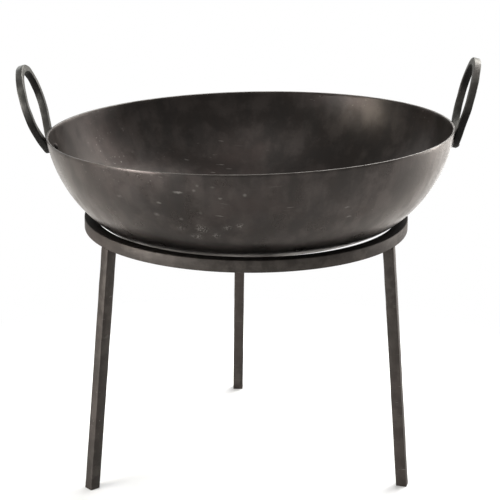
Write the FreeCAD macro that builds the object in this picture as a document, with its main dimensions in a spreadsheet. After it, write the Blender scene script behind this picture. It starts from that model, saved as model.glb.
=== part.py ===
import FreeCAD, Part
import math
import os
from collections import namedtuple

import Sketcher

# Fire bowl with two loop handles, resting loose in a three-legged ring stand.
# Millimetres and degrees. Z is up and the origin is on the floor under the bowl.
# The handles lie along X, as nearly as they were set by hand.

SIZES = {
    # pressed bowl: flared wall, knuckle and shallow crown, outer sizes; angles are from vertical
    "rim_diameter": 600,
    "sheet_thickness": 3,
    "rim_round": 0.8,
    "wall_lean": 8,
    "wall_radius": 196,
    "knuckle_start": 52,
    "knuckle_radius": 87,
    "crown_start": 74,
    # the loose bowl has rolled a little in the ring: its right and front sides are the higher ones
    "bowl_lean_right": 1.75,
    "bowl_lean_front": 1.3,
    "bowl_shift_right": 3,
    "stand_shift_left": 2,
    "stand_shift_back": 3,
    # handle loops: a pear shape, measured on the bar's centre line, each tilted a little about its rivet
    "handle_bar": 11,
    "handle_top_radius": 54.5,
    "handle_foot_radius": 25,
    "handle_centre_distance": 46,
    "handle_bearing_right": -1.5,
    "handle_bearing_left": 176.6,
    "handle_tilt_right": -20,
    "handle_tilt_left": -6.5,
    "handle_foot_depth": 26,
    "handle_gap": 0.2,
    "handle_round": 1.5,
    # one rivet through the wall and the foot of each loop, with a bead under the foot
    "rivet_diameter": 6,
    "rivet_clearance": 0.1,
    "rivet_head_diameter": 12,
    "rivet_head_height": 4,
    "rivet_tail_diameter": 8,
    "rivet_tail_height": 2.5,
    "handle_bead": 4.5,
    "handle_bead_root": 1.5,
    "handle_bead_sweep": 80,
    # ring of square bar, with the weld that closes it
    "ring_diameter": 483,
    "ring_height": 385,
    "ring_bar": 18,
    "bar_round": 1.2,
    "seat_clearance": 0.3,
    "seam_gap": 4,
    "seam_bearing": 32.6,
    # legs of square bar, splayed, each turned a little about its own length
    "leg_bar": 16,
    "foot_circle_diameter": 533,
    "back_leg_bearing": 92.6,
    "back_leg_twist": -3,
    "left_leg_twist": 8,
    "right_leg_twist": 13,
    "leg_bead": 4.5,
    "leg_bead_root": 0.5,
    "leg_bead_length": 10,
    # how far every cutting shape runs past the solid that it cuts
    "cut_overrun": 5,
}

FULL_TURN = 360
QUARTER_TURN = FULL_TURN / 4
HANDLE_SIDES = ("right", "left")
LEG_NAMES = ("back", "left", "right")
SAME_HEIGHT = 1e-4

Vector = FreeCAD.Vector
ORIGIN = Vector(0, 0, 0)
UP = Vector(0, 0, 1)
START, END, CENTRE = range(1, 4)
VERTICAL_AXIS, HORIZONTAL_AXIS = range(-2, 0)

doc = FreeCAD.newDocument("brazier")
sheet = doc.addObject("Spreadsheet::Sheet", "Sizes")
finished = []


def store(alias, value):
    """Writes one number to the next row of the sheet, under its alias."""
    row = len(stored) + 1
    sheet.set(f"A{row}", alias)
    sheet.set(f"B{row}", repr(float(value)))
    sheet.setAlias(f"B{row}", alias)
    stored[alias] = float(value)


stored = {}
for size_name, size_value in SIZES.items():
    store(size_name, size_value)


def size(alias):
    """Value of one cell of the sheet."""
    return stored[alias]


def sine(angle):
    return math.sin(math.radians(angle))


def cosine(angle):
    return math.cos(math.radians(angle))


def turned(bearing):
    """Placement turned about the upright axis."""
    return FreeCAD.Placement(ORIGIN, FreeCAD.Rotation(UP, bearing))


# Bowl profile: three tangent arcs in the bowl's own frame, whose origin is the middle of the rim

ProfileArc = namedtuple("ProfileArc", "centre_radius centre_height radius start end")


def bowl_arcs():
    """Outer wall, knuckle and crown, from the rim down to the axis."""
    wall_lean, wall_radius = size("wall_lean"), size("wall_radius")
    knuckle_start, knuckle_radius = size("knuckle_start"), size("knuckle_radius")
    crown_start = size("crown_start")
    wall_across = size("rim_diameter") / 2 - wall_radius * cosine(wall_lean)
    wall_height = wall_radius * sine(wall_lean)
    inset = wall_radius - knuckle_radius
    knuckle_across = wall_across + inset * cosine(knuckle_start)
    knuckle_height = wall_height - inset * sine(knuckle_start)
    crown_radius = knuckle_radius + knuckle_across / cosine(crown_start)
    crown_height = knuckle_height + knuckle_across * sine(crown_start) / cosine(crown_start)
    return (
        ProfileArc(wall_across, wall_height, wall_radius, wall_lean, knuckle_start),
        ProfileArc(knuckle_across, knuckle_height, knuckle_radius, knuckle_start, crown_start),
        ProfileArc(0, crown_height, crown_radius, crown_start, QUARTER_TURN),
    )


def bowl_place(rim_height):
    """Frame of the bowl, leaning and shifted, with the middle of its rim at one height."""
    rise_right = math.tan(math.radians(size("bowl_lean_right")))
    rise_front = math.tan(math.radians(size("bowl_lean_front")))
    upward = Vector(-rise_right, rise_front, 1).normalize()
    rightward = Vector(1, 0, rise_right).normalize()
    leaning = FreeCAD.Rotation(rightward, upward.cross(rightward), upward, "XYZ")
    return FreeCAD.Placement(Vector(size("bowl_shift_right"), 0, rim_height), leaning)


def stand_place():
    """Frame of the stand, on the floor under the middle of its ring."""
    middle = Vector(-size("stand_shift_left"), size("stand_shift_back"), 0)
    return FreeCAD.Placement(middle, FreeCAD.Rotation())


def distance_to_bowl(point):
    """Distance from a point in the bowl's frame to its outer skin."""
    radius = math.hypot(point.x, point.y)
    for arc in bowl_arcs():
        run, drop = radius - arc.centre_radius, arc.centre_height - point.z
        if arc.start <= math.degrees(math.atan2(drop, run)) <= arc.end:
            return math.hypot(run, drop) - arc.radius
    return radius


def seated_rim_height():
    """Rim height at which the bowl is the seat clearance away from the ring's rounded inner edge."""
    edge_radius = size("ring_diameter") / 2 - size("ring_bar") + size("bar_round")
    edge_height = size("ring_height") - size("bar_round")
    wanted = size("bar_round") + size("seat_clearance")
    edge_start = Vector(edge_radius, 0, edge_height)
    edge_points = [(stand_place() * turned(bearing)).multVec(edge_start) for bearing in range(FULL_TURN)]
    low, high = size("ring_height"), size("ring_height") + size("rim_diameter")
    while high - low > SAME_HEIGHT:
        middle = (low + high) / 2
        into_bowl = bowl_place(middle).inverse()
        if min(distance_to_bowl(into_bowl.multVec(point)) for point in edge_points) < wanted:
            low = middle
        else:
            high = middle
    return high


store("rim_height", seated_rim_height())
store("ring_centre_radius", size("ring_diameter") / 2 - size("ring_bar") / 2)
store("seam_angle", math.degrees(size("seam_gap") / size("ring_centre_radius")))
store("leg_height", size("ring_height") - size("ring_bar"))
store("leg_splay", size("foot_circle_diameter") / 2 - size("ring_centre_radius"))
handle_lean_sine = sine(size("wall_lean")) + size("handle_foot_depth") / size("wall_radius")
store("handle_lean", math.degrees(math.asin(handle_lean_sine)))
doc.recompute()


# Helpers for bodies, sketches and bound dimensions


def new_body(name):
    body = doc.addObject("PartDesign::Body", name)
    body.Label = name
    return body


def origin_part(body, role):
    return next(part for part in body.Origin.OriginFeatures if part.Role == role)


def new_sketch(body, plane, name):
    """Empty sketch on one of the body's own origin planes."""
    sketch = body.newObject("Sketcher::SketchObject", name)
    sketch.AttachmentSupport = [(origin_part(body, plane), "")]
    sketch.MapMode = "FlatFace"
    return sketch


def bind(sketch, expression, *constraint):
    """Adds a dimension to a sketch and ties it to the sheet."""
    index = sketch.addConstraint(Sketcher.Constraint(*constraint))
    sketch.setExpression(f"Constraints[{index}]", expression)


def add_line(sketch, first, second, construction=False):
    return sketch.addGeometry(Part.LineSegment(Vector(*first, 0), Vector(*second, 0)), construction)


def add_arc(sketch, centre, radius, start, end):
    """Arc drawn anticlockwise between two angles from level."""
    circle = Part.Circle(Vector(*centre, 0), UP, radius)
    return sketch.addGeometry(Part.ArcOfCircle(circle, math.radians(start), math.radians(end)), False)


def add_polygon(sketch, points):
    """Closed outline of straight lines; returns their numbers."""
    lines = [add_line(sketch, *ends) for ends in zip(points, points[1:] + points[:1])]
    for line, following in zip(lines, lines[1:] + lines[:1]):
        sketch.addConstraint(Sketcher.Constraint("Coincident", line, END, following, START))
    return lines


def add_profile_arc(sketch, arc):
    """One arc of the bowl's section, drawn from its lower end up."""
    return add_arc(sketch, (arc.centre_radius, arc.centre_height), arc.radius, -arc.end, -arc.start)


def add_feature(body, kind, name, profile, **expressions):
    """Sketch-based feature with its sizes tied to the sheet."""
    feature = body.newObject(f"PartDesign::{kind}", name)
    feature.Profile = profile
    for key, expression in expressions.items():
        feature.setExpression(key, expression)
    return feature


def round_edges(body, name, base, radius_alias, chosen):
    """Fillet on the edges of a feature that the test accepts."""
    doc.recompute()
    edges = [f"Edge{i}" for i, edge in enumerate(base.Shape.Edges, start=1) if chosen(edge)]
    fillet = body.newObject("PartDesign::Fillet", name)
    fillet.Base = (base, edges)
    fillet.setExpression("Radius", f"Sizes.{radius_alias}")


def at_height(edge, height):
    """Whether an edge lies level at one height."""
    return abs(edge.BoundBox.ZMin - height) + abs(edge.BoundBox.ZMax - height) < SAME_HEIGHT


# Bowl


def make_bowl():
    """Sheet section between outer and concentric inner arcs, turned about the upright axis."""
    body = new_body("bowl")
    sketch = new_sketch(body, "YZ_Plane", "bowl_profile")
    arcs = bowl_arcs()
    thickness = size("sheet_thickness")
    rim_radius = size("rim_diameter") / 2
    inner_lean = math.asin(arcs[0].centre_height / (arcs[0].radius - thickness))
    inner_rim_radius = arcs[0].centre_radius + (arcs[0].radius - thickness) * math.cos(inner_lean)
    outer = [add_profile_arc(sketch, arc) for arc in arcs]
    inner_arcs = [arc._replace(radius=arc.radius - thickness) for arc in arcs]
    inner_arcs[0] = inner_arcs[0]._replace(start=math.degrees(inner_lean))
    inner = [add_profile_arc(sketch, arc) for arc in inner_arcs]
    rim = add_line(sketch, (rim_radius, 0), (inner_rim_radius, 0))
    bottom = arcs[-1].centre_height - arcs[-1].radius
    axis = add_line(sketch, (0, bottom + thickness), (0, bottom))
    wall, knuckle, crown = outer
    constraints = [
        ("PointOnObject", crown, CENTRE, VERTICAL_AXIS),
        ("PointOnObject", crown, START, VERTICAL_AXIS),
        ("PointOnObject", inner[-1], START, VERTICAL_AXIS),
        ("Coincident", wall, END, rim, START),
        ("Coincident", inner[0], END, rim, END),
        ("Coincident", inner[-1], START, axis, START),
        ("Coincident", crown, START, axis, END),
        ("PointOnObject", rim, START, HORIZONTAL_AXIS),
        ("Horizontal", rim),
    ]
    for chain in (outer, inner):
        constraints += [("Tangent", upper, START, lower, END) for upper, lower in zip(chain, chain[1:])]
    constraints += [("Coincident", first, CENTRE, second, CENTRE) for first, second in zip(outer, inner)]
    for constraint in constraints:
        sketch.addConstraint(Sketcher.Constraint(*constraint))
    bind(sketch, "Sizes.rim_diameter / 2", "DistanceX", wall, END, rim_radius)
    bind(sketch, "Sizes.wall_radius", "Radius", wall, arcs[0].radius)
    bind(sketch, "Sizes.knuckle_radius", "Radius", knuckle, arcs[1].radius)
    bind(sketch, "Sizes.wall_radius - Sizes.sheet_thickness", "Radius", inner[0], inner_arcs[0].radius)
    for arc, place, radius, angle in (
        (wall, END, "wall_radius", "wall_lean"),
        (wall, START, "wall_radius", "knuckle_start"),
        (knuckle, START, "knuckle_radius", "crown_start"),
    ):
        expression = f"Sizes.{radius} * sin(Sizes.{angle} * 1 deg)"
        bind(sketch, expression, "DistanceY", arc, place, arc, CENTRE, size(radius) * sine(size(angle)))
    shell = add_feature(body, "Revolution", "bowl_shell", sketch)
    shell.ReferenceAxis = (sketch, ["V_Axis"])
    round_edges(body, "rim_edges", shell, "rim_round", lambda edge: at_height(edge, 0))
    for side in HANDLE_SIDES:
        hole = body.newObject("PartDesign::SubtractiveCylinder", f"rivet_hole_{side}")
        hole.setExpression("Radius", "Sizes.rivet_diameter / 2 + Sizes.rivet_clearance")
        hole.setExpression("Height", "Sizes.sheet_thickness + 2 * Sizes.cut_overrun")
        hole.Placement = handle_place(side, -size("sheet_thickness") - size("cut_overrun"))
    body.Placement = bowl_place(size("rim_height"))
    finished.append(body)
    return body


# Handles, each in a frame on the wall: x along the rim, y up the wall, z out of it, tilted about z


def handle_place(side, stand_off=0.0):
    """Frame at the foot of a handle in the bowl's frame, a stand-off out from the bowl's outer wall."""
    wall = bowl_arcs()[0]
    lean = size("handle_lean")
    outward = Vector(cosine(lean), 0, -sine(lean))
    foot = Vector(wall.centre_radius, 0, wall.centre_height) + outward * wall.radius
    frame = FreeCAD.Rotation(Vector(0, 1, 0), Vector(sine(lean), 0, cosine(lean)), outward, "XYZ")
    upright = FreeCAD.Placement(foot + outward * stand_off, frame)
    return turned(size(f"handle_bearing_{side}")) * upright * turned(size(f"handle_tilt_{side}"))


def pear_outline(sketch, offset):
    """Two arcs joined by straight sides, an offset away from the bar's centre line."""
    sign = "+" if offset > 0 else "-"
    foot_height = size("handle_foot_radius")
    top_height = foot_height + size("handle_centre_distance")
    top_radius = size("handle_top_radius") + offset
    foot_radius = foot_height + offset
    slope = math.degrees(math.asin((top_radius - foot_radius) / size("handle_centre_distance")))
    top = add_arc(sketch, (0, top_height), top_radius, -slope, FULL_TURN / 2 + slope)
    foot = add_arc(sketch, (0, foot_height), foot_radius, slope - FULL_TURN / 2, -slope)
    reach, drop = cosine(slope), sine(slope)
    left = add_line(
        sketch,
        (-top_radius * reach, top_height - top_radius * drop),
        (-foot_radius * reach, foot_height - foot_radius * drop),
    )
    right = add_line(
        sketch,
        (foot_radius * reach, foot_height - foot_radius * drop),
        (top_radius * reach, top_height - top_radius * drop),
    )
    for first, second in ((top, left), (left, foot), (foot, right), (right, top)):
        sketch.addConstraint(Sketcher.Constraint("Tangent", first, END, second, START))
    for arc in (top, foot):
        sketch.addConstraint(Sketcher.Constraint("PointOnObject", arc, CENTRE, VERTICAL_AXIS))
    bind(sketch, "Sizes.handle_foot_radius", "DistanceY", foot, CENTRE, foot_height)
    rise = top_height - foot_height
    bind(sketch, "Sizes.handle_centre_distance", "DistanceY", foot, CENTRE, top, CENTRE, rise)
    bind(sketch, f"Sizes.handle_top_radius {sign} Sizes.handle_bar / 2", "Radius", top, top_radius)
    bind(sketch, f"Sizes.handle_foot_radius {sign} Sizes.handle_bar / 2", "Radius", foot, foot_radius)


def make_handle(side):
    body = new_body(f"handle_{side}")
    sketch = new_sketch(body, "XY_Plane", f"handle_{side}_outline")
    pear_outline(sketch, size("handle_bar") / 2)
    pear_outline(sketch, -size("handle_bar") / 2)
    hole_radius = size("rivet_diameter") / 2 + size("rivet_clearance")
    hole = sketch.addGeometry(Part.Circle(ORIGIN, UP, hole_radius), False)
    sketch.addConstraint(Sketcher.Constraint("Coincident", hole, CENTRE, HORIZONTAL_AXIS, START))
    bind(sketch, "Sizes.rivet_diameter / 2 + Sizes.rivet_clearance", "Radius", hole, hole_radius)
    loop = add_feature(body, "Pad", f"handle_{side}_loop", sketch, Length="Sizes.handle_bar")

    def on_outline(edge):
        level = edge.BoundBox.ZLength < size("handle_bar") / 2
        return level and edge.BoundBox.DiagonalLength > size("rivet_head_diameter")

    round_edges(body, f"handle_{side}_edges", loop, "handle_round", on_outline)
    body.Placement = bowl_place(size("rim_height")) * handle_place(side, size("handle_gap"))
    finished.append(body)


def make_rivet(side):
    """Domed head inside the bowl, shank through wall and bar, and a hammered tail outside."""
    body = new_body(f"handle_rivet_{side}")
    sketch = new_sketch(body, "XZ_Plane", f"rivet_{side}_profile")
    shank, head, tail = (size(f"rivet_{part}diameter") / 2 for part in ("", "head_", "tail_"))
    under_head = -size("sheet_thickness") - size("rivet_clearance")
    under_tail = size("handle_gap") + size("handle_bar") + size("rivet_clearance")

    def dome(half_width, height, base, points_up):
        """Arc from the rim of a dome to its top on the axis."""
        radius = (half_width**2 + height**2) / (2 * height)
        rim_angle = QUARTER_TURN - math.degrees(math.asin(half_width / radius))
        if points_up:
            return add_arc(sketch, (0, base + height - radius), radius, rim_angle, QUARTER_TURN)
        return add_arc(sketch, (0, base - height + radius), radius, -QUARTER_TURN, -rim_angle)

    head_top = under_head - size("rivet_head_height")
    tail_top = under_tail + size("rivet_tail_height")
    head_arc = dome(head, size("rivet_head_height"), under_head, False)
    head_seat = add_line(sketch, (head, under_head), (shank, under_head))
    shank_side = add_line(sketch, (shank, under_head), (shank, under_tail))
    tail_seat = add_line(sketch, (shank, under_tail), (tail, under_tail))
    tail_arc = dome(tail, size("rivet_tail_height"), under_tail, True)
    axis = add_line(sketch, (0, tail_top), (0, head_top))
    chain = (head_arc, head_seat, shank_side, tail_seat, tail_arc, axis)
    for first, second in zip(chain, chain[1:] + chain[:1]):
        sketch.addConstraint(Sketcher.Constraint("Coincident", first, END, second, START))
    for kind, *places in (
        ("Horizontal", head_seat),
        ("Horizontal", tail_seat),
        ("Vertical", shank_side),
        ("PointOnObject", axis, START, VERTICAL_AXIS),
        ("PointOnObject", axis, END, VERTICAL_AXIS),
        ("PointOnObject", head_arc, CENTRE, VERTICAL_AXIS),
        ("PointOnObject", tail_arc, CENTRE, VERTICAL_AXIS),
    ):
        sketch.addConstraint(Sketcher.Constraint(kind, *places))
    past_wall = "-Sizes.sheet_thickness - Sizes.rivet_clearance"
    past_bar = "Sizes.handle_gap + Sizes.handle_bar + Sizes.rivet_clearance"
    head_height, tail_height = size("rivet_head_height"), size("rivet_tail_height")
    bind(sketch, "Sizes.rivet_head_diameter / 2", "DistanceX", head_seat, START, head)
    bind(sketch, "Sizes.rivet_diameter / 2", "DistanceX", shank_side, START, shank)
    bind(sketch, "Sizes.rivet_tail_diameter / 2", "DistanceX", tail_seat, END, tail)
    bind(sketch, past_wall, "DistanceY", head_seat, END, under_head)
    bind(sketch, past_bar, "DistanceY", tail_seat, START, under_tail)
    bind(sketch, "Sizes.rivet_head_height", "DistanceY", axis, END, head_seat, START, head_height)
    bind(sketch, "Sizes.rivet_tail_height", "DistanceY", tail_seat, END, axis, START, tail_height)
    turning = add_feature(body, "Revolution", f"rivet_{side}_turned", sketch)
    turning.ReferenceAxis = (sketch, ["V_Axis"])
    body.Placement = bowl_place(size("rim_height")) * handle_place(side)
    finished.append(body)


def make_handle_weld(side, bowl):
    """Bead in the corner between the wall and the lower edge of the loop's foot."""
    blank = new_body(f"handle_bead_{side}")
    sketch = new_sketch(blank, "YZ_Plane", f"handle_bead_{side}_section")
    edge, root, leg = -size("handle_bar") / 2, -size("handle_bead_root"), size("handle_bead")
    side_line, slope, base = add_polygon(sketch, [(edge, root), (edge, leg), (edge - leg, root)])
    sketch.addConstraint(Sketcher.Constraint("Vertical", side_line))
    sketch.addConstraint(Sketcher.Constraint("Horizontal", base))
    foot_centre = size("handle_foot_radius")
    foot_axis = add_line(sketch, (foot_centre, 0), (foot_centre, leg), True)
    sketch.addConstraint(Sketcher.Constraint("Vertical", foot_axis))
    sketch.addConstraint(Sketcher.Constraint("PointOnObject", foot_axis, START, HORIZONTAL_AXIS))
    bind(sketch, "-Sizes.handle_bar / 2", "DistanceX", side_line, START, edge)
    bind(sketch, "-Sizes.handle_bead_root", "DistanceY", side_line, START, root)
    bind(sketch, "Sizes.handle_bead", "DistanceY", side_line, END, leg)
    bind(sketch, "Sizes.handle_bead", "DistanceX", base, START, base, END, leg)
    bind(sketch, "Sizes.handle_foot_radius", "DistanceX", foot_axis, START, foot_centre)
    bind(sketch, "Sizes.handle_bead", "DistanceY", foot_axis, START, foot_axis, END, leg)
    sweep_angle = "Sizes.handle_bead_sweep"
    sweep = add_feature(blank, "Revolution", f"handle_bead_{side}_sweep", sketch, Angle=sweep_angle)
    sweep.ReferenceAxis = (sketch, ["Axis0"])
    sweep.Midplane = True
    blank.Placement = bowl_place(size("rim_height")) * handle_place(side)
    weld = doc.addObject("Part::Cut", f"handle_weld_{side}")
    weld.Label = f"handle_weld_{side}"
    weld.Base = blank
    weld.Tool = bowl
    finished.append(weld)


# Stand


def make_ring_stretch(name, start, sweep):
    """Stretch of the rolled square bar, from one bearing through an angle."""
    body = new_body(name)
    sketch = new_sketch(body, "XZ_Plane", f"{name}_section")
    outer, top = size("ring_diameter") / 2, size("ring_height")
    inner, under = outer - size("ring_bar"), top - size("ring_bar")
    corners = [(inner, under), (outer, under), (outer, top), (inner, top)]
    base, outside, lid, inside = add_polygon(sketch, corners)
    for line in (base, lid):
        sketch.addConstraint(Sketcher.Constraint("Horizontal", line))
    for line in (outside, inside):
        sketch.addConstraint(Sketcher.Constraint("Vertical", line))
    bind(sketch, "Sizes.ring_diameter / 2", "DistanceX", outside, END, outer)
    bind(sketch, "Sizes.ring_height", "DistanceY", outside, END, top)
    bind(sketch, "Sizes.ring_bar", "DistanceX", lid, END, lid, START, size("ring_bar"))
    bind(sketch, "Sizes.ring_bar", "DistanceY", outside, START, outside, END, size("ring_bar"))
    bar = add_feature(body, "Revolution", f"{name}_bar", sketch, Angle=sweep)
    bar.ReferenceAxis = (sketch, ["V_Axis"])
    long_edges = lambda edge: isinstance(edge.Curve, Part.Circle)
    round_edges(body, f"{name}_edges", bar, "bar_round", long_edges)
    body.Placement = stand_place() * turned(start)
    finished.append(body)


def leg_bearing(name):
    return size("back_leg_bearing") + LEG_NAMES.index(name) * FULL_TURN / len(LEG_NAMES)


def leg_place(name):
    """Frame on the floor at a foot, turned with the bar's own faces."""
    foot = turned(leg_bearing(name)).multVec(Vector(size("foot_circle_diameter") / 2, 0, 0))
    facing = FreeCAD.Rotation(UP, leg_bearing(name) + size(f"{name}_leg_twist"))
    return stand_place() * FreeCAD.Placement(foot, facing)


def rounded_square(sketch):
    """Section of the leg's bar with its corners rounded, centred on the origin."""
    half, corner = size("leg_bar") / 2, size("bar_round")
    flat = half - corner
    sides = []
    for turn in range(4):
        along = Vector(cosine(turn * QUARTER_TURN), sine(turn * QUARTER_TURN), 0)
        outward = Vector(along.y, -along.x, 0)
        ends = (outward * half - along * flat, outward * half + along * flat)
        centre = (outward + along) * flat
        line = add_line(sketch, *((end.x, end.y) for end in ends))
        corner_end = turn * QUARTER_TURN
        arc = add_arc(sketch, (centre.x, centre.y), corner, corner_end - QUARTER_TURN, corner_end)
        bind(sketch, "Sizes.bar_round", "Radius", arc, corner)
        sides += [line, arc]
    for first, second in zip(sides, sides[1:] + sides[:1]):
        sketch.addConstraint(Sketcher.Constraint("Tangent", first, END, second, START))
    below, outside, above, inside = sides[::2]
    for line, kind, distance, sign in (
        (below, "Horizontal", "DistanceY", -1),
        (outside, "Vertical", "DistanceX", 1),
        (above, "Horizontal", "DistanceY", 1),
        (inside, "Vertical", "DistanceX", -1),
    ):
        sketch.addConstraint(Sketcher.Constraint(kind, line))
        bind(sketch, f"{sign} * Sizes.leg_bar / 2", distance, line, START, sign * half)


def make_leg(name):
    """Square bar that slants in from its foot to the ring, cut level at both ends."""
    body = new_body(f"leg_{name}")
    sketch = new_sketch(body, "XY_Plane", f"leg_{name}_section")
    rounded_square(sketch)
    bar = add_feature(body, "Pad", f"leg_{name}_bar", sketch, Length="Sizes.leg_height")
    bar.AlongSketchNormal = True
    bar.UseCustomVector = True
    twist = f"Sizes.{name}_leg_twist * 1 deg"
    bar.setExpression("Direction.x", f"-Sizes.leg_splay * cos({twist})")
    bar.setExpression("Direction.y", f"Sizes.leg_splay * sin({twist})")
    bar.setExpression("Direction.z", "Sizes.leg_height")
    body.Placement = leg_place(name)
    finished.append(body)
    return body


def make_leg_weld(name, leg):
    """Pair of beads under the ring, one on each side of the leg's top."""
    blank = new_body(f"leg_bead_{name}")
    sketch = new_sketch(blank, "YZ_Plane", f"leg_bead_{name}_section")
    height, bead = size("leg_height"), size("leg_bead")
    inset = size("leg_bar") / 2 - size("leg_bead_root")
    reach = size("leg_bar") / 2 + bead
    middle = size("leg_splay") * sine(size(f"{name}_leg_twist"))
    for side in (-1, 1):
        root, toe = middle + side * inset, middle + side * reach
        lid, slope, face = add_polygon(sketch, [(root, height), (toe, height), (root, height - bead)])
        sketch.addConstraint(Sketcher.Constraint("Horizontal", lid))
        sketch.addConstraint(Sketcher.Constraint("Vertical", face))
        offset = f"Sizes.leg_splay * sin(Sizes.{name}_leg_twist * 1 deg)"
        sign = "+" if side > 0 else "-"
        root_place = f"{offset} {sign} (Sizes.leg_bar / 2 - Sizes.leg_bead_root)"
        toe_place = f"{offset} {sign} (Sizes.leg_bar / 2 + Sizes.leg_bead)"
        bind(sketch, root_place, "DistanceX", lid, START, root)
        bind(sketch, toe_place, "DistanceX", lid, END, toe)
        bind(sketch, "Sizes.leg_height", "DistanceY", lid, START, height)
        bind(sketch, "Sizes.leg_bead", "DistanceY", face, START, face, END, bead)
    beads = add_feature(blank, "Pad", f"leg_bead_{name}_run", sketch, Length="Sizes.leg_bead_length")
    beads.Midplane = True
    inset_at_top = Vector(-size("leg_splay") * cosine(size(f"{name}_leg_twist")), 0, 0)
    blank.Placement = leg_place(name) * FreeCAD.Placement(inset_at_top, FreeCAD.Rotation())
    weld = doc.addObject("Part::Cut", f"leg_weld_{name}")
    weld.Label = f"leg_weld_{name}"
    weld.Base = blank
    weld.Tool = leg
    finished.append(weld)


bowl = make_bowl()
for handle_side in HANDLE_SIDES:
    make_handle(handle_side)
    make_rivet(handle_side)
    make_handle_weld(handle_side, bowl)
make_ring_stretch("stand_ring", size("seam_bearing"), f"{FULL_TURN} - Sizes.seam_angle")
make_ring_stretch("ring_seam_weld", size("seam_bearing") - size("seam_angle"), "Sizes.seam_angle")
for leg_name in LEG_NAMES:
    make_leg_weld(leg_name, make_leg(leg_name))
doc.recompute()

# Every object has to be sound before anything is written

for item in doc.Objects:
    if {"Invalid", "Error"} & set(item.State):
        raise RuntimeError(f"{item.Label} did not rebuild: {item.State}")
for piece in finished:
    if piece.Shape.isNull() or not piece.Shape.isValid() or not piece.Shape.Solids:
        raise RuntimeError(f"{piece.Label} has no sound solid")

os.makedirs("parts", exist_ok=True)
for piece in finished:
    piece.Shape.exportStep(f"parts/{piece.Label}.step")
    box = piece.Shape.BoundBox
    print(f"{piece.Label}: {len(piece.Shape.Solids)} solid(s), {piece.Shape.Volume:.0f} mm3")
    print(f"  x {box.XMin:.1f} to {box.XMax:.1f}, y {box.YMin:.1f} to {box.YMax:.1f}")
    print(f"  z {box.ZMin:.1f} to {box.ZMax:.1f}")
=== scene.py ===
import logging
import math
from collections.abc import Callable, Iterable
from dataclasses import dataclass, replace
from enum import Enum, IntEnum
from functools import cache, cached_property
from typing import Any

import bmesh
import bpy
from mathutils import Matrix, Vector, noise


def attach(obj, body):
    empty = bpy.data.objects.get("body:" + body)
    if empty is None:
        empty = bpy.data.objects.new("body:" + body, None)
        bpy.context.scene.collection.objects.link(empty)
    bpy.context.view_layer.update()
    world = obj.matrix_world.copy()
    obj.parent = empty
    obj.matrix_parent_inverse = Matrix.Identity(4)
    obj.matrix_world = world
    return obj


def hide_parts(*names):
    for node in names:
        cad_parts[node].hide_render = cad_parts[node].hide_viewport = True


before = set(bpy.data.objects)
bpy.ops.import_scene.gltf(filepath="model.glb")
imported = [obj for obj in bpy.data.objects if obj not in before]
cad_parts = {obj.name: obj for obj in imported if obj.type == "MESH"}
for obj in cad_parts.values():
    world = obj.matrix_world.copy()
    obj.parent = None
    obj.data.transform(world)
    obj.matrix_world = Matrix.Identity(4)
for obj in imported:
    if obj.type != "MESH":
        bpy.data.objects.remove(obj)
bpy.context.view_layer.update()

LOG = logging.getLogger("brazier")

FULL_TURN = math.tau
HALF_TURN = FULL_TURN / 2
QUARTER_TURN = FULL_TURN / 4
EIGHTH_TURN = FULL_TURN / 8
ORIGIN = Vector((0, 0, 0))
X_AXIS = Vector((1, 0, 0))
Y_AXIS = Vector((0, 1, 0))
Z_AXIS = Vector((0, 0, 1))
MERGE_DISTANCE = 1e-6
JOIN_DISTANCE = 1e-4
OPAQUE = 1.0
# Vertex layer of painted shade, set by how much each surface faces up or down.
FACING_SHADE_LAYER = "smoke"

Mesh = bmesh.types.BMesh
Object = bpy.types.Object
Tree = bpy.types.NodeTree
Socket = bpy.types.NodeSocket
Colour = tuple[float, float, float]
Point = tuple[float, float, float]
Span = tuple[float, float]


class BodyName(Enum):
    """Moving body that a piece rides on."""

    STAND = "stand"
    BOWL = "bowl"


class SlotName(Enum):
    """Material slot that a piece takes its finish from."""

    BOWL = "bowl_steel"
    HANDLE = "handle_steel"
    RIVET = "rivet_steel"
    WELD = "weld_metal"
    STAND = "stand_steel"


class Side(Enum):
    """Side that a handle or a leg is on, by the word in its node names."""

    BACK = "back"
    LEFT = "left"
    RIGHT = "right"


class BowlFace(IntEnum):
    """Region of the bowl's sheet, by the number of its finish."""

    OUTSIDE = 0
    RIM = 1
    INSIDE = 2


# Shader helpers


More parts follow.
